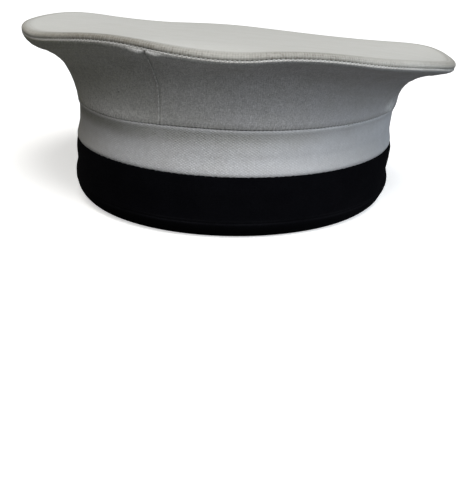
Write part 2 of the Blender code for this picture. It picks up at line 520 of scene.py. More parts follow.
topSettings = {
    "thickness": 2.4 * mm,
    "plateRings": 11,
    "underRings": 5,
    "rollSteps": 20,
    # the padded roll in mm, inwards of the rim line and above it, from its lower lip upwards
    "roll": (
        ((0.5, 0.56), (0.0, 0.52), (-0.45, 0.5), (-0.72, 0.84), (-0.83, 1.55))
        + ((-0.72, 2.42), (-0.1, 3.18), (0.72, 3.68), (1.65, 3.98), (2.6, 4.08))
    ),
    "tuck": ((5.2, 1.95), (4.2, 1.6), (3.2, 1.3), (2.2, 1.1)),  # below the roll, likewise
    "besideRoll": (3.0, 3.4, 3.9, 4.6, 6.0, 8.6),  # mm inwards, the first rings of the upper face
    "crease": (0.06 * mm, 3.2 * mm, 0.8 * mm),  # beside the roll: depth, inwards, half width
    "edgeDrop": (0.42 * mm, 16 * mm),  # how much lower the top lies beside the roll, and how far in
    # each stitch pulls the roll's lower lip in: size, share of the roll's section, half width
    "pucker": (0.16 * mm, 0.18, 0.11),
    # painted shade in the needle holes along the roll's lower lip, and in the groove under it
    "needleHoleShade": (1.15, 0.175, 0.05),  # likewise
    "groove": (0.2, 0.03, 0.06),
    "greyerEnd": ((98.0, 24.0, 0.17),),  # the greyer end of the top: azimuth, half width, strength
    "fullness": ((0.10, 5, 0, 0.4), (0.07, 9, 0, 2.0), (0.05, 17, 0, 1.1), (0.04, 31, 0, 0.2)),
    "fullestAt": ((103.0, 13.0, 0.9),),  # azimuth, half width in degrees, mm
    # how grey the roll is, from its lower lip up to the crease: grime and painted shade together
    "darkening": ((0.0, 0.7), (0.25, 0.78), (0.5, 0.82), (0.75, 0.72), (1.0, 0.42)),
    "greyWaves": ((0.08, 4, 0, 1.0), (0.048, 9, 0, 0.3), (0.032, 23, 0, 2.2)),
    # painted shade with some grime, soft on the top just beside the roll
    "greyBesideRoll": (0.42, 2.6 * mm, 1.9 * mm),  # on the top beside the roll: size, inwards, width
    # where the roll's grime and painted shade are stronger or weaker: azimuth, half width, how much
    "greyerAt": (
        (-50.0, 16.0, -0.3),
        (-13.0, 15.0, 0.25),
        (16.0, 9.0, -0.25),
        (38.0, 9.0, 0.1),
        (72.0, 20.0, -0.2),
        (98.0, 16.0, -0.05),
    ),
    "shutAt": ((-40.0, 34.0, 0.9),),  # where the roll lies down on the welt and its groove is shut
}


def makeCrownTop():
    s = topSettings
    radius = cap["rimRadius"]
    azimuth = evenTurn(cap["stitchesRound"] * cap["samplesPerStitch"])
    # the section inwards of the rim line and above it: under face, roll, upper face
    underShare = np.linspace(0.04, 0.945, s["underRings"])
    under = cap["topAboveRim"] - s["thickness"]
    tuckIn, tuckUp = np.array(s["tuck"]).T * mm
    section = np.array(s["roll"]) * mm
    walk = runLength(section) * mm
    fine = np.linspace(0, walk[-1], 161)
    rollShare = np.linspace(0, 1, s["rollSteps"] + 1)
    rollIn, rollUp = [softTable(rollShare * walk[-1], fine, walk, a, 7.0) for a in section.T]
    plateIn = radius * (1 - np.linspace(0.90, 0.04, s["plateRings"]))
    plateIn = join([np.array(s["besideRoll"]) * mm, plateIn])
    plateUp = cap["topAboveRim"] - s["edgeDrop"][0] * bell(plateIn, s["edgeDrop"][1])
    plateUp = plateUp - bump(plateIn, *s["crease"])
    inward = join([radius * (1 - underShare), tuckIn, rollIn, plateIn])
    up = join([np.full(len(underShare), under), tuckUp, rollUp, plateUp])
    before, after = len(underShare) + len(tuckIn), len(plateIn)
    # share: 0 to 1 along the roll, and far from it on the under face and the stretched top
    share = np.pad(rollShare, (before, after), constant_values=(-9.0, 9.0))
    inward, up, share = inward[:, None], up[:, None], share[:, None]
    onRoll = np.abs(share) < 1.01
    # the roll's fullness varies a little round the cap
    full = ripple(azimuth, 0, s["fullness"]) + spotSum(azimuth, s["fullestAt"])
    full = full * mm * np.sin(math.pi * share * onRoll)
    stitch = stitchWave(cap["stitchesRound"] * azimuth / 360)
    pull = stitch**3 * bump(share, *s["pucker"])
    reach = radius - inward + full - pull
    z = cap["rimHeight"] + rimWave(azimuth, np.minimum(reach / radius, 1.0)) + up + 0.5 * pull
    points = onOval(azimuth, reach, reach, z)
    uv = roundUv(azimuth, runLength(points)[:, :1], tau * radius / mm / 360)
    # the stretched top is mapped straight from above
    flat = join([points, points[:, :1]], 1)[-after:, :, :2] / mm
    uv = join([uv[:-after], flat])
    # the grime and painted shade of the roll fade out on the stretched top
    greyness = 1.0 + ripple(azimuth, 0, s["greyWaves"]) + spotSum(azimuth, s["greyerAt"])
    along = np.clip(share, 0, 1)
    grimeAndShade = greyness * np.interp(along, *np.array(s["darkening"]).T) * onRoll
    beside = greyness * bump(inward, *s["greyBesideRoll"])
    beside = beside + spotSum(azimuth, s["greyerEnd"]) * bell(inward, 15 * mm)
    grimeAndShade = grimeAndShade + beside * (share > 1.01)
    # painted shade in the needle holes and in the groove between the roll and the welt, less where
    # the groove is shut
    recessShade = stitch**3 * bump(share, *s["needleHoleShade"]) + bump(share, *s["groove"])
    recessShade = recessShade * spared(azimuth, s["shutAt"])
    tips = [(0, 0, cap["rimHeight"] + z) for z in (under, cap["topAboveRim"])]
    shades = {"grimeAndShade": grimeAndShade, "recessShade": recessShade}
    return layGrid("crown_top_cloth", points, uv, tips=tips, shades=shades)


crownTop = place(makeCrownTop(), "crown_cloth", topFinish, "crown_top")
print("crown top made")

weltSettings = {
    "radius": 0.64 * mm,
    "sides": 10,
    "twist": 0.07,  # how far the turned cloth stands out along its twist, as a share
    # painted shade in the hollows between the cord's ridges
    "hollowShade": 0.45,
    "greyerAt": ((100, 32.0, 0.95),),  # greyer on the wearer's left: azimuth, half width, strength
}


def makeRimWelt():
    # a round cord along the rim line; its radius is radius * (1 + twist * cos(2 * angle - stitch
    # phase)), so that two ridges run round it as a screw with one turn to two stitches
    s = weltSettings
    azimuth = evenTurn(cap["stitchesRound"] * cap["samplesPerStitch"])
    angle = np.radians(evenTurn(s["sides"])[:, None] - 180)
    screw = np.cos(2 * angle - np.radians(cap["stitchesRound"] * azimuth))
    size = s["radius"] * (1 + s["twist"] * screw)
    points = onRim(azimuth, size * np.cos(angle), size * np.sin(angle))
    walked = np.arange(s["sides"] + 1)[:, None] / s["sides"] * tau * s["radius"] / mm
    uv = roundUv(azimuth, walked, tau * cap["rimRadius"] / mm / 360)
    grimeAndShade = spotSum(azimuth, s["greyerAt"]) + 0 * size
    # painted shade in the cord's hollows between its ridges
    shades = {"recessShade": s["hollowShade"] * (0.5 - 0.5 * screw) ** 2, "grimeAndShade": grimeAndShade}
    return layGrid("rim_welt_cord", points, uv, sectionClosed=True, shades=shades)


place(makeRimWelt(), "welt_cloth", weltFinish, "rim_welt")
print("welt made")

sideSettings = {
    "lean": 0.19,
    "rimSlope": 60.0,
    "rimSlopeSwing": 15.0,
    "steepestAzimuth": -104.0,
    "rimHold": 0.17,
    "edgeIn": -0.4 * mm,
    "edgeDown": 0.35 * mm,
    # where the cloth covers more of the welt: azimuth, half width, how far further out and up
    "edgeCovers": ((-44.0, 30.0, 0.3 * mm), (106.0, 22.0, 0.28 * mm)),
    # how far the upright seams bow round, in degrees, at even steps of the climb
    "seamBow": (-0.4, 0.12, 0.38, 0.0, -0.4, -0.48, -0.46, -0.34, -0.12, 0.0, -0.05),
}
quarterSettings = {
    "columns": 220,
    "rows": 58,
    "rowCrowding": 1.4,  # the rows stand closer together towards the rim
    "wall": 1.4,  # mm, as all lengths below
    "gap": 0.03,
    "lip": 0.42,
    "allowance": 2.6,
    # where the upper edge goes in behind the welt, in mm out from the rim line and above it
    "outerTuck": ((0.15, -0.1), (-0.3, 0.05), (-0.75, 0.25), (-1.3, 0.5), (-2.6, 0.75)),
    "innerTuck": ((-2.9, -0.1), (-3.2, 0.02), (-3.6, 0.08), (-4.0, 0.10), (-4.4, 0.12)),
    # the pressed edges after and before an upright seam: size, mm away, half width
    "seamRidges": ((0.14, 0.9, 1.1), (0.42, 0.85, 0.9)),
    "puckerSize": 0.035,
    "bottomRoll": (0.32, 0.6, 2.0),  # just above the level seam, likewise
    # the cloth curls out from under the welt: how far, within how much and over how much
    "rimPuff": (0.42, 0.8, 5.5),
    "puffMore": ((-4.0, 10.0, 0.35),),  # azimuth, half width, how much further
    "puffShut": ((-56.0, 34.0, 0.95), (104.0, 20.0, 0.8)),  # where it lies flat, and how much
    "folds": ((0.035, 61, 0, 0.7), (0.03, 97, 0, 2.1)),  # small ones just under the welt
    # the fullness beside the front seam: size, mm from it and half width, mm from the welt and
    # half height
    "seamTug": (0.86, 4.6, 3.7, 2.0, 1.5),
    "waves": ((0.09, 3, 22, 0.3), (0.05, 5, -40, 1.9), (0.04, 9, 65, 0.8), (0.035, 14, 90, 2.6)),
    # azimuth, height in mm, half width in degrees, half height in mm, size in mm
    "lumps": (
        (96.0, 61.0, 6.0, 3.0, 0.9),
        (85.0, 64.0, 4.0, 5.0, -0.3),
        (100.0, 84.0, 14.0, 6.0, 0.5),
        (30.0, 60.4, 24.0, 3.6, 0.35),
        (89.0, 60.8, 2.8, 3.0, 1.1),
    ),
    # painted shade with some grime under the welt, along the level seam and under the brim;
    # yellowing; and painted light where the cloth bulges towards the lamps: azimuth, half width,
    # which edge it is measured from, mm from it, half height in mm, strength
    "marks": (
        ("grimeAndShade", 0.0, 1e9, "low", 0.0, 1.2, 0.22),
        ("grimeAndShade", 0.0, 1e9, "high", 0.0, 5.0, 0.2),
        # painted shade under the brim on the wearer's right, where the rim overhangs the cloth
        ("grimeAndShade", -58.0, 36.0, "high", 0.0, 15.0, 1.5),
        ("grimeAndShade", 101.5, 22.0, "high", 0.0, 7.0, 0.6),
        ("yellowed", -46.0, 46.0, "low", 0.0, 1e9, 0.9),
        # painted light: lighter patches where the cloth bulges towards the lamps, under the welt at
        # the front, beside the side seam and low on the front
        ("paintedLight", -24.0, 20.0, "low", 1.0, 9.0, 1.1),
        ("paintedLight", 10.0, 13.0, "low", 15.0, 10.0, 0.3),
        ("paintedLight", 0.0, 5.0, "high", 1.0, 1.7, 0.9),
        ("paintedLight", 88.5, 3.4, "low", 3.4, 3.0, 1.2),
    ),
    # each runs a quarter turn on from the front seam
    "quarters": ("front_left", "back_left", "back_right", "front_right"),
}


bowClimb = np.linspace(-0.5, 1.5, 401)
bowRows = np.linspace(0, 1, len(sideSettings["seamBow"]))
bowTurn = softTable(bowClimb, bowClimb, bowRows, sideSettings["seamBow"], 8.0)


def bezier(start, first, second, end, share):
    left = 1 - share
    outer = start * left**3 + end * share**3
    return outer + 3 * first * share * left**2 + 3 * second * share**2 * left


def sideSurface(azimuth, climb):
    # the crown's side from the rise seam, climb 0, to the rim, climb 1: out runs from 0 to 1 and
    # the height from the seam to the rim, both as cubic curves; the oval opens into the round rim
    s = sideSettings
    bowed = azimuth + np.interp(climb, bowClimb, bowTurn)
    covers = spotSum(bowed, s["edgeCovers"])
    edgeRadius = cap["rimRadius"] - s["edgeIn"] + covers
    seamHeight = cap["seamHeight"] + 0.2 * mm - seamDrop(bowed)
    edgeHeight = cap["rimHeight"] + rimWave(bowed + cap["crownTwist"], 1.0)
    edgeHeight = edgeHeight - s["edgeDown"] + covers
    width, length = cap["seamHalfWidth"], cap["seamHalfLength"]
    turn = np.radians(bowed)
    flare = np.hypot((edgeRadius - width) * np.sin(turn), (edgeRadius - length) * np.cos(turn))
    swing = np.cos(np.radians(bowed - s["steepestAzimuth"]))
    slope = np.radians(s["rimSlope"] + s["rimSlopeSwing"] * swing)
    drop = s["rimHold"] * flare * np.tan(slope)
    leaning = s["lean"] * (edgeHeight - seamHeight) / flare
    out = bezier(0, leaning, 1 - s["rimHold"], 1, climb)
    height = bezier(seamHeight, edgeHeight, edgeHeight - drop, edgeHeight, climb)
    width = width + out * (edgeRadius - width)
    length = length + out * (edgeRadius - length)
    points = onOval(bowed + cap["crownTwist"] * out, width, length, height)
    points[..., 1] += cap["bandSetBack"] * (1 - out)
    return points


def sideFrame(azimuth, climb):
    # the point, the outward normal, and the mm that one degree and one unit of climb walk
    point = sideSurface(azimuth, climb)
    across = (sideSurface(azimuth + 0.05, climb) - sideSurface(azimuth - 0.05, climb)) / 0.1
    above = (sideSurface(azimuth, climb + 0.002) - sideSurface(azimuth, climb - 0.002)) / 0.004
    speeds = [np.linalg.norm(a, axis=-1) / mm for a in (across, above)]
    return point, unit(np.cross(across, above)), *speeds


def turnedEdge(gap, lip, allowance):
    # mm along from the seam's middle and mm inwards, from the end of the allowance round the lip
    angle = np.radians([22.5, 45, 67.5, 90])
    along = join([[gap] * 4, gap + lip * (1 - np.cos(angle))])
    inward = [allowance, 0.66 * allowance, 0.38 * allowance, lip]
    return along, join([inward, lip * (1 - np.sin(angle))])


def hiddenEdge(wall, allowance):
    # the same count of steps on the inner face, down the allowance's back to the wall
    along = np.array([0.85, 0.9, 1.0, 1.15, 1.35, 1.6, 1.9, 2.2])
    share = np.array([1.0, 0.75, 0.45, 0.2, 0.06, 0.0, 0.0, 0.0])
    return along, wall + (allowance - wall) * share


def quarterForm(azimuth, climb, above, below, fromStart, fromEnd):
    # the soft forms of a quarter, in mm outwards; the last four are the mm from its edges
    s = quarterSettings
    nearest = np.minimum(fromStart, fromEnd)
    # the front seam stands out more than those at the sides
    front = np.cos(np.radians(azimuth)) ** 8
    after, before = s["seamRidges"]
    ridges = bump(fromStart, *after) + bump(fromEnd, *before)
    puff, within, over = s["rimPuff"]
    puff = (puff + spotSum(azimuth, s["puffMore"])) * spared(azimuth, s["puffShut"])
    pull = np.cos(tau * azimuth * 1.72 / 2.25) * bell(above - 0.8, 1.6) * 0.6
    pull = pull + np.cos(tau * above / 2.3) * bell(nearest - 0.8, 1.8)
    tug, aside, halfAside, down, halfDown = s["seamTug"]
    parts = (
        ripple(azimuth, climb, s["waves"]) * np.sin(math.pi * np.clip(climb, 0, 1)) ** 0.7,
        bump(above, *s["bottomRoll"]),
        ridges * np.clip(below / 24, 0, 1) * (0.2 + 0.8 * front),
        puff * (1 - np.exp(-np.maximum(below, 0) / within)) * bell(below, over),
        s["puckerSize"] * pull,
        ripple(azimuth, 0, s["folds"]) * bell(below, 5.0),
        bump(nearest, tug, aside, halfAside) * bell(below - down, halfDown) * front,
        lumpSum(azimuth, above + 58, s["lumps"] + cap["stretched"]),
    )
    return sum(parts)


def quarterFace(start, along, inward, flatDepth):
    # one face of a quarter, its turned edges lying the given mm along and inwards: the points,
    # azimuth, climb, and mm above the level seam and from the nearer upright one
    s = quarterSettings
    edge, width, height = len(along), s["columns"], s["rows"]
    rise = 1 - np.linspace(1, 0, height + 1)[1:] ** s["rowCrowding"]
    # columns: distance from the first seam, the last seam, and the share between
    fromFirst = np.pad(along, (0, width + edge), "edge")
    fromLast = fromFirst[::-1]
    between = np.pad(np.linspace(0, 1, width + 2)[1:-1], edge, constant_values=(0, 1))
    sideDepth = join([inward, np.full(width, flatDepth), inward[::-1]])
    upMm = np.pad(along, (0, height), "edge")[:, None]
    upShare = np.pad(rise, (edge, 0))[:, None]
    upDepth = np.pad(inward, (0, height), constant_values=flatDepth)[:, None]
    end = start + 90.0
    rough = start + 90 * between
    speedUp = sideFrame(rough, np.full_like(rough, 0.01))[3]
    climb = upMm / speedUp + upShare * (1 - along[-1] / speedUp)
    speedFirst = sideFrame(np.full_like(climb, start), climb)[2][:, :1]
    speedLast = sideFrame(np.full_like(climb, end), climb)[2][:, -1:]
    first = start + fromFirst / speedFirst
    last = end - fromLast / speedLast
    azimuth = first * (1 - between) + last * between
    point, normal, speedRound, speedClimb = sideFrame(azimuth, climb)
    above, below = climb * speedClimb, (1 - climb) * speedClimb
    fromStart, fromEnd = (azimuth - start) * speedRound, (end - azimuth) * speedRound
    form = quarterForm(azimuth, climb, above, below, fromStart, fromEnd)
    depth = np.maximum(sideDepth, upDepth) - form
    laid = point - normal * (depth * mm)[..., None]
    return laid, azimuth, climb, above, np.minimum(fromStart, fromEnd)


def makeQuarter(name, start):
    s = quarterSettings
    outer = quarterFace(start, *turnedEdge(s["gap"], s["lip"], s["allowance"]), 0.0)
    inner = quarterFace(start, *hiddenEdge(s["wall"], s["allowance"]), s["wall"])
    rows = []
    for (laid, azimuth, *_), tuck in ((outer, s["outerTuck"]), (inner, s["innerTuck"])):
        rimAzimuth = azimuth[-1] + cap["crownTwist"]
        out, up = np.array(tuck).T[:, :, None] * mm
        rows.append(join([laid, onRim(rimAzimuth, out, up)]))
    points = join([rows[0], rows[1][::-1]])
    azimuth, climb, above, nearest = outer[1:]
    count = len(azimuth)
    walked = runLength(rows[0])
    mapU = np.pad(azimuth, ((0, len(walked) - count), (0, 0)), "edge") * 1.85
    uv = np.stack([mapU, walked], -1)
    uv = join([uv, uv[::-1], uv[:1]])
    below = walked[:count].max() - walked[:count]
    keys = ("grimeAndShade", "yellowed", "paintedLight", "rubbed", "recessShade")
    shades = {key: np.zeros(points.shape[:2]) for key in keys}
    for key, at, halfWidth, edge, away, halfHeight, size in s["marks"]:
        height = (above if edge == "low" else below) - away
        shades[key][:count] += spotSum(azimuth, [(at, halfWidth, size)]) * bell(height, halfHeight)
    # the cloth's texture is rubbed at the wearer's left
    folded = turnFrom(azimuth, 88.5)
    rubbed = 0.7 / (1 + np.exp(-(folded + 46.0) / 7.0)) * bell(folded - 20.0, 90.0)
    shades["rubbed"][:count] = rubbed
    # painted shade in the seam grooves and needle holes: along the level seam, small ones up the
    # upright seams, and long ones high up
    stitch = stitchWave(cap["seamStitches"] * azimuth / 360)
    recessShade = 0.6 * stitch**2 * bell(above - 0.15, 0.35)
    upright, every = stitchWave(above / 2.2), stitchWave(above / 4.4 + 0.0955)
    high = np.clip(climb * 2 - 0.8, 0, 1)
    recessShade = recessShade + (0.08 + 0.3 * upright**2) * bell(nearest, 0.46)
    shades["recessShade"][:count] = recessShade + high * (0.5 + 1.6 * every**2) * bell(nearest, 0.8)
    return layGrid(name, points, uv, roundClosed=False, sectionClosed=True, shades=shades)


for side, start in zip(quarterSettings["quarters"], evenTurn(4)):
    piece = makeQuarter("quarter_" + side + "_cloth", start)
    place(piece, "side_cloth", quarterFinish, "quarter_" + side)
print("quarters made")

riseSettings = {
    "columns": 900,
    "step": 1.05,  # mm between rows
    "wall": 1.4,
    "lip": 0.45,
    "allowance": 2.6,
    # height, half length and half width of the outer face, in mm
    "rows": (
        ((12.5, 101.2, 88.7), (32.8, 101.1, 88.6), (33.5, 102.4, 90.0), (34.2, 102.75, 90.35))
        + ((36.0, 102.7, 90.2), (39.0, 102.2, 89.5), (43.0, 101.5, 88.9), (48.0, 101.0, 89.3))
        + ((53.0, 100.8, 89.9), (58.0, 100.2, 91.4))
    ),
    "softness": 0.5,
    "ridge": (0.4, -1.1, 0.7),  # the pressed allowance: size, mm above the seam, half width
    "pucker": (0.05, -0.8, 1.4),
    # painted shade under the seam, where the quarters overhang, most on the wearer's right: size, mm
    # above the seam, half height
    "darkening": (0.9, -4.0, 5.0),
    # painted shade along the lip under the seam and in the seam's needle holes; the spared azimuths
    # have less of the shade under the seam
    "lipShade": (0.3, 0.3, 0.55),
    "shadeSpared": ((-12.0, 15.0, 0.15), (88.0, 28.0, 1.0), (-115.0, 40.0, 0.6)),
    "seamHoleShade": (0.55, 0.0, 0.3),
    "waves": ((0.10, 4, 60, 0.4), (0.07, 7, -120, 2.2), (0.05, 13, 160, 1.3)),
    # azimuth, height, half width in degrees, half height in mm, size in mm
    # a greyer patch low on the wearer's left
    "greySpots": ((76.0, 38.0, 20.0, 7.0, 0.3),),
    "lumps": (
        (30.0, 46.0, 26.0, 3.4, 0.25),
        (24.0, 52.8, 24.0, 2.4, -0.38),
        (93.0, 52.0, 6.0, 3.5, -0.35),
        (-48.0, 50.0, 14.0, 5.0, 0.18),
    ),
}


def makeRise():
    s = riseSettings
    azimuth = evenTurn(s["columns"])
    height, *outline = np.array(s["rows"]).T
    upper = height[-1] - 0.03
    angle = np.radians([0, 25, 50, 75, 90])
    face = np.arange(height[0], upper - s["lip"] - 0.3, s["step"])
    down = np.arange(upper - 3.0, height[0], -3.6)
    # up the outer face and over the lip, then down the allowance's back and the inner face
    outerUp = join([face, upper - s["lip"] * (1 - np.sin(angle)), [upper] * 3])
    outerIn = [0.0 * face, s["lip"] * (1 - np.cos(angle)), [1.0, 1.8, s["allowance"]]]
    back = ((0.85, s["allowance"]), (1.1, 2.1), (1.5, 1.6), (2.0, s["wall"]))
    backDown, backIn = np.array(back).T
    up = join([outerUp, upper - backDown, down, [height[0]]])[:, None]
    inward = join([*outerIn, backIn, np.full(len(down) + 1, s["wall"])])[:, None]
    fine = np.arange(height[0], height[-1] - 0.5, 0.4)
    length, width = [softTable(up, fine, height, a, s["softness"] / 0.4) * mm for a in outline]
    stitch = stitchWave(cap["seamStitches"] * azimuth / 360)
    parts = (
        ripple(azimuth, up * mm, s["waves"]) * np.clip((up - 35) / 6, 0, 1),
        bump(up - upper, *s["ridge"]),
        (2 * stitch - 1) * bump(up - upper, *s["pucker"]),
        lumpSum(azimuth, up, s["lumps"] + cap["stretched"]) * np.clip((up - 33) / 3, 0, 1),
    )
    outwards = ((sum(parts) - inward) * mm)[..., None] * ovalNormal(azimuth, width, length)
    sag = seamDrop(azimuth) * np.clip((up - 38) / (upper - 38), 0, 1) ** 1.5
    points = onOval(azimuth, width, length, up * mm - sag) + outwards
    # painted shade under the level seam, where the quarters overhang, and in its needle holes
    side = np.clip(0.5 - 0.55 * np.sin(np.radians(azimuth - 38.0)), 0, 1)
    side = side * spared(azimuth, s["shadeSpared"]) * (1 - bell(up - upper, 1.3))
    greyness = bump(up - upper, *s["lipShade"]) + side * bump(up - upper, *s["darkening"])
    greyness = greyness + lumpSum(azimuth, up, s["greySpots"])
    recessShade = stitch**2 * bump(up - upper, *s["seamHoleShade"])
    isOuter = np.arange(len(up))[:, None] < len(outerUp)
    # the twill shows most at the front; further round it is stretched and rubbed smooth
    turned = turnFrom(azimuth, 12.0)
    rubbed = np.where(turned > 0, 0.85, 0.65) * (1 - bell(turned, 29.0)) + 0 * up
    shades = {"grimeAndShade": greyness * isOuter, "recessShade": recessShade * isOuter, "rubbed": rubbed}
    return layRing("rise_twill", azimuth, points, 1.668, shades)


riseTwill = place(makeRise(), "rise_twill", twillFinish, "rise_band")
print("rise made")

bandSettings = {
    "columns": 900,
    "halfWidth": 90.5,
    "halfLength": 103.0,
    "height": 34.0,
    "walls": (0.8, 1.4, 1.4, 1.1),  # at the upper edge, below it, above the fold, in the fold
    "stride": 4,  # rows kept of those 0.2 mm apart
    # outset and height of the outer face in mm, from the upper edge down to the fold
    "outer": (
        ((-0.25, 33.5), (0.5, 26.0), (0.5, 10.0), (-0.6, 6.0), (-2.8, 3.0))
        + ((-6.0, 0.0), (-8.4, 0.0))
    ),
    "foldCentre": (-8.4, 1.2),
    "foldRadius": 1.2,
    "hemEnd": (-3.1, 11.0),
    "creaseHeight": 9.4,
    # two lines along the crease: depth, mm above it, half width; and its worn edges, likewise
    "crease": ((0.34, 0.0, 0.55), (-0.17, 1.3, 0.7)),
    "creaseEdges": ((1.0, 0.75, 0.45), (1.0, -0.8, 0.4)),
    "ragged": ((0.09, 131, 0, 0.2), (0.08, 187, 0, 1.1), (0.07, 257, 0, 2.6)),  # the upper edge
    "waves": ((0.22, 3, 40, 0.5), (0.16, 6, -90, 1.7), (0.12, 11, 150, 0.9), (0.08, 19, -240, 2.4)),
    # azimuth, height, half width in degrees, half height in mm, size in mm
    "lumps": (
        (-61.0, 22.0, 14.0, 4.2, -1.05),
        (-62.0, 14.5, 12.0, 2.4, 0.25),
        (-60.0, 8.5, 14.0, 3.0, -0.4),
        (106.0, 31.5, 12.0, 4.0, 0.85),
        (106.0, 18.2, 10.0, 4.2, -1.1),
        (106.0, 13.0, 10.0, 1.8, 0.35),
        (104.0, 5.0, 10.0, 2.6, -0.5),
        (92.0, 6.5, 6.0, 2.0, -0.35),
    ),
}


def makeBand():
    s = bandSettings
    azimuth = evenTurn(s["columns"])
    # the outer face down to the fold, then the fold's arc, then the hem going up inside
    outer = np.array(s["outer"])
    walked = runLength(outer) * mm
    fine = np.arange(0, walked[-1], 0.2)
    face = np.stack([softTable(fine, fine, walked, a, 7.0) for a in outer.T], 1)
    face = face[:: s["stride"]][:-1]
    turn = np.radians([-90, -120, -150, 180, 160, 146])
    arc = s["foldCentre"] + s["foldRadius"] * np.stack([np.cos(turn), np.sin(turn)], 1)
    hem = arc[-1] + (np.array(s["hemEnd"]) - arc[-1]) * np.linspace(0, 1, 7)[1:, None]
    path = join([face, arc, hem])
    # the wall lies on the left of that path as it goes down and round
    along = np.gradient(path, axis=0)
    along = along / np.hypot(*along.T)[:, None]
    left = np.stack([along[:, 1], -along[:, 0]], 1)
    wall = np.interp(np.arange(len(path)), [0, 5, len(face) - 9, len(face)], s["walls"])
    back = path + left * wall[:, None]
    # the inner face needs fewer rows than the outer one
    bend = len(face) - 6
    keep = join([np.arange(0, bend, 3), np.arange(bend, len(path))])
    # both ends of the wall are rounded
    turn = np.radians([45, 90, 135])[:, None]
    topArc = (path[0] + back[0]) / 2 + 0.5 * wall[0] * np.hstack([-np.cos(turn), np.sin(turn)])
    endArc = -np.cos(turn) * left[-1] + np.sin(turn) * along[-1]
    endArc = (path[-1] + back[-1]) / 2 + 0.5 * wall[-1] * endArc
    # the loop runs down the outer face, so it is turned round to keep the faces outwards
    loop = join([path, endArc, back[keep][::-1], topArc])[::-1]
    out, up = loop.T[:, :, None]
    up = np.maximum(up, 0.0)
    outerWall = (np.arange(len(loop))[:, None] >= len(loop) - len(path)) * (out > -2.5)
    hang = np.clip(up / 9, 0, 1) * np.clip((34.5 - up) / 2, 0.15, 1)
    overCrease = up - s["creaseHeight"]
    crease = sum(bump(overCrease, *line) for line in s["crease"])
    form = ripple(azimuth, up * mm, s["waves"]) * hang + lumpSum(azimuth, up, s["lumps"])
    form = (form - crease * outerWall) * (out > -2.5)
    width, length = s["halfWidth"] * mm, s["halfLength"] * mm
    ragged = ripple(azimuth, 0, s["ragged"]) * np.clip(up - 32.4, 0, 1)
    points = onOval(azimuth, width, length, (up + ragged) * mm)
    points = points + ovalNormal(azimuth, width, length) * ((out + form) * mm)[..., None]
    worn = 0.5 + 0.5 * ripple(azimuth, 0, ((0.5, 2, 0, 0.8), (0.4, 5, 0, 1.0), (0.3, 13, 0, 0.1)))
    edges = sum(bump(overCrease, *line) for line in s["creaseEdges"])
    hem = outerWall * edges * np.clip(worn, 0.15, 1)
    return layRing("cap_band_cloth", azimuth, points, 1.69, {"hem": hem})


bandCloth = place(makeBand(), "band_cloth", blackFinish, "cap_band")
print("band made")

threadSettings = {
    "roundSteps": 6,
    "alongSteps": 4,
    # length, width and lift of a stitch in mm
    "level": (1.0, 0.5, 0.22),
    "upright": (1.5, 0.62, 0.34),
    "rim": (1.35, 0.5, 0.35),
    "uprightCount": 15,  # to each upright seam, over the lower part of the climb
    "uprightClimb": (0.02, 0.57),
}


def makeThreads(name, centre, along, outward, size):
    # each stitch is a long bead: centre + along * length / 2 * cos(a) + sin(a) * (side * width / 2
    # * cos(b) + outward * lift * sin(b)), closed by a point at either end
    steps, n = threadSettings["alongSteps"], threadSettings["roundSteps"]
    a = np.linspace(0, math.pi, steps + 2)[1:-1, None]
    b = np.arange(n) / n * tau
    bead = stacked(np.cos(a), np.sin(a) * np.cos(b), np.sin(a) * np.sin(b))
    bead = join([bead.reshape(-1, 3), [[1, 0, 0], [-1, 0, 0]]])
    bead = bead * size * (0.5 * mm, 0.5 * mm, mm)
    vertices = centre[:, None] + bead @ np.stack([along, np.cross(along, outward), outward], 1)
    vertices = vertices.reshape(-1, 3)
    _, quads = gridQuads(steps - 1, n, steps, n)
    i = np.arange(n)
    after, last = (i + 1) % n, (steps - 1) * n
    fans = [
        np.stack([after, i, np.full(n, steps * n)], 1),
        np.stack([last + i, last + after, np.full(n, steps * n + 1)], 1),
    ]
    offset = (np.arange(len(centre)) * len(bead))[:, None, None]
    quads = (quads + offset).reshape(-1, 4)
    fans = (join(fans) + offset).reshape(-1, 3)
    mapped = (vertices[:, [0, 2]] + vertices[:, [1, 1]]) / mm
    return layMesh(name, vertices, quads, fans, mapped[quads], mapped[fans])


def makeLevelSeamThreads():
    # one stitch every 2.2 mm along the seam between the rise and the quarters
    azimuth = evenTurn(cap["seamStitches"], 0.5)
    level = np.zeros(len(azimuth))
    point, normal, _, _ = sideFrame(azimuth, level)
    along = unit(sideSurface(azimuth + 0.2, level) - sideSurface(azimuth - 0.2, level))
    out = (lumpSum(azimuth, 58.0, cap["stretched"]) - 0.3) * mm
    centre = point + normal * out[:, None] + np.array([0, 0, -0.2 * mm])
    return makeThreads("level_seam_threads", centre, along, normal, threadSettings["level"])


def makeUprightSeamThreads():
    # stitches up the lower half of each seam between the quarters; higher up they sink in
    count = threadSettings["uprightCount"]
    low, high = threadSettings["uprightClimb"]
    climb = np.tile((np.arange(count) + 0.5) / count * (high - low) + low, 4)
    azimuth = np.repeat(evenTurn(4) - 0.32, count)
    point, normal, _, speedClimb = sideFrame(azimuth, climb)
    along = unit(sideSurface(azimuth, climb + 0.01) - sideSurface(azimuth, climb - 0.01))
    out = lumpSum(azimuth, 58 + climb * speedClimb, cap["stretched"])
    out = out + 0.38 - 0.38 * np.sin(np.radians(azimuth)) ** 2
    centre = point + normal * (out * mm)[:, None]
    return makeThreads("upright_seam_threads", centre, along, normal, threadSettings["upright"])


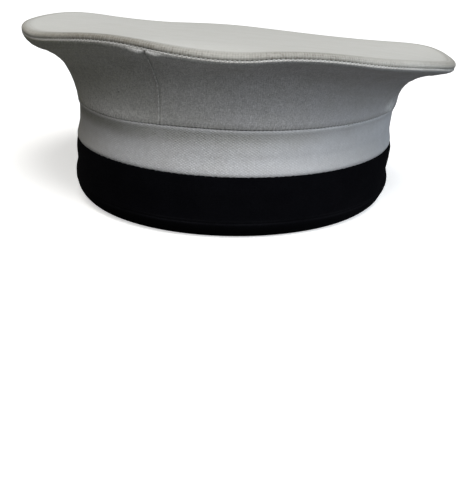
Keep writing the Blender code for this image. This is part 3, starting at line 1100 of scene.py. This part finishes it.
def makeRimThreads():
    # short stitches in the groove between the roll and the welt, one to each pucker's side
    azimuth = evenTurn(cap["stitchesRound"], 0.5)
    groove = (0.5 * mm, 0.6 * mm)
    centre = onRim(azimuth, *groove)
    along = unit(onRim(azimuth + 0.2, *groove) - centre)
    outward = onOval(azimuth, 1.0, 1.0, 0.0)
    outward = unit(outward - along * (outward * along).sum(-1, keepdims=True))
    return makeThreads("rim_threads", centre, along, outward, threadSettings["rim"])


place(makeLevelSeamThreads(), "side_cloth", threadFinish)
place(makeUprightSeamThreads(), "side_cloth", threadFinish)
place(makeRimThreads(), "welt_cloth", threadFinish)
print("stitches made")

studio = {
    "floorSeen": (0.93, 0.93, 0.93),
    "floorBounce": (0.15, 0.15, 0.15),
    "floorGlow": (0.55, 1.1, 0.5, 2.5),  # near the cap, far off, and the two distances in metres
    "floorSize": 16.0,
    "sky": (1.0, 1.0, 1.0),
    "skySeen": 1.05,
    "skyLight": 0.02,
    "lightsAway": 4.8,
    "ratedAway": 1.6,
    # name, azimuth, elevation, size and watts at the rated distance, colour
    "lights": (
        ("key", 40.0, 60.0, 0.8, 13.5, (1.0, 0.99, 0.975)),
        ("front", 20.0, 49.0, 0.9, 7.3, (1.0, 0.985, 0.96)),
        ("right", 60.0, 30.0, 0.9, 5.9, (0.88, 0.94, 1.0)),
        ("far_right", 100.0, 30.0, 0.9, 6.8, (0.75, 0.86, 1.0)),
        ("left", -100.0, 33.0, 0.9, 3.0, (1.0, 0.93, 0.74)),
    ),
}
viewpoint = {
    "turn": 22.24,  # degrees round from the front
    "distance": 0.600,
    "height": 0.1758,
    "setBack": 0.002,
    "pitch": 19.91,
    "yaw": 0.19,
    "roll": 2.97,
    "focalPixels": 1022.0,
    "longSide": 500,
}


def makeFloor():
    half = studio["floorSize"] / 2
    corners = [(-half, -half, 0), (half, -half, 0), (half, half, 0), (-half, half, 0)]
    mesh = bpy.data.meshes.new("floor")
    mesh.from_pydata(corners, [], [(0, 1, 2, 3)])
    floor = addObject("floor", mesh)
    material, tree, shader = startFinish("pale_floor")
    seen = addNode(tree, "LightPath").outputs["Is Camera Ray"]
    place3d = addNode(tree, "TexCoord").outputs["Object"]
    away = addNode(tree, "VectorMath", {0: place3d}, operation="LENGTH").outputs["Value"]
    nearGlow, farGlow, nearAway, farAway = studio["floorGlow"]
    glow = fromTo(tree, away, nearAway, farAway, nearGlow, farGlow)
    inputs = {
        "Base Color": tinted(tree, seen, studio["floorBounce"], studio["floorSeen"]),
        "Roughness": 0.9,
        "Specular IOR Level": 0.1,
        "Emission Color": (1.0, 1.0, 1.0, 1.0),
        "Emission Strength": times(tree, seen, glow),
    }
    feed(tree, shader, inputs)
    mesh.materials.append(material)


def makeLights():
    target = Vector((0, 0, 0.06))
    scale = studio["lightsAway"] / studio["ratedAway"]
    for name, azimuth, elevation, size, watts, colour in studio["lights"]:
        data = bpy.data.lights.new(name, "AREA")
        data.shape = "DISK"
        data.size = size * scale
        data.energy = watts * scale**2
        data.color = colour
        lamp = addObject(name, data)
        up, level = math.sin(math.radians(elevation)), math.cos(math.radians(elevation))
        away = Vector(onOval(azimuth, level, level, up))
        lamp.location = target + away * studio["lightsAway"]
        lamp.rotation_euler = away.to_track_quat("Z", "Y").to_euler()
    world = bpy.data.worlds.new("soft_sky")
    world.use_nodes = True
    tree = world.node_tree
    seen = addNode(tree, "LightPath").outputs["Is Camera Ray"]
    strength = fromTo(tree, seen, 0.0, 1.0, studio["skyLight"], studio["skySeen"])
    inputs = {"Color": (*studio["sky"], 1.0), "Strength": strength}
    feed(tree, tree.nodes["Background"], inputs)
    bpy.context.scene.world = world


def makeCamera():
    v = viewpoint
    turn, pitch, yaw, roll = [math.radians(v[key]) for key in ("turn", "pitch", "yaw", "roll")]
    data = bpy.data.cameras.new("photo_camera")
    data.sensor_width = 36.0
    data.lens = v["focalPixels"] * data.sensor_width / v["longSide"]
    data.clip_start, data.clip_end = 0.01, 50.0
    lens = addObject("photo_camera", data)
    spot = Vector(onOval(v["turn"], v["distance"], v["distance"], v["height"]))
    spot.y += v["setBack"]
    # from looking straight down: rolled, tipped up, then turned round
    axes = Matrix.Rotation(turn - yaw, 4, "Z") @ Matrix.Rotation(math.pi / 2 - pitch, 4, "X")
    lens.matrix_world = Matrix.Translation(spot) @ axes @ Matrix.Rotation(roll, 4, "Z")
    bpy.context.scene.camera = lens


makeFloor()
makeLights()
makeCamera()
bpy.context.scene.view_settings.view_transform = "Standard"
print("studio made")
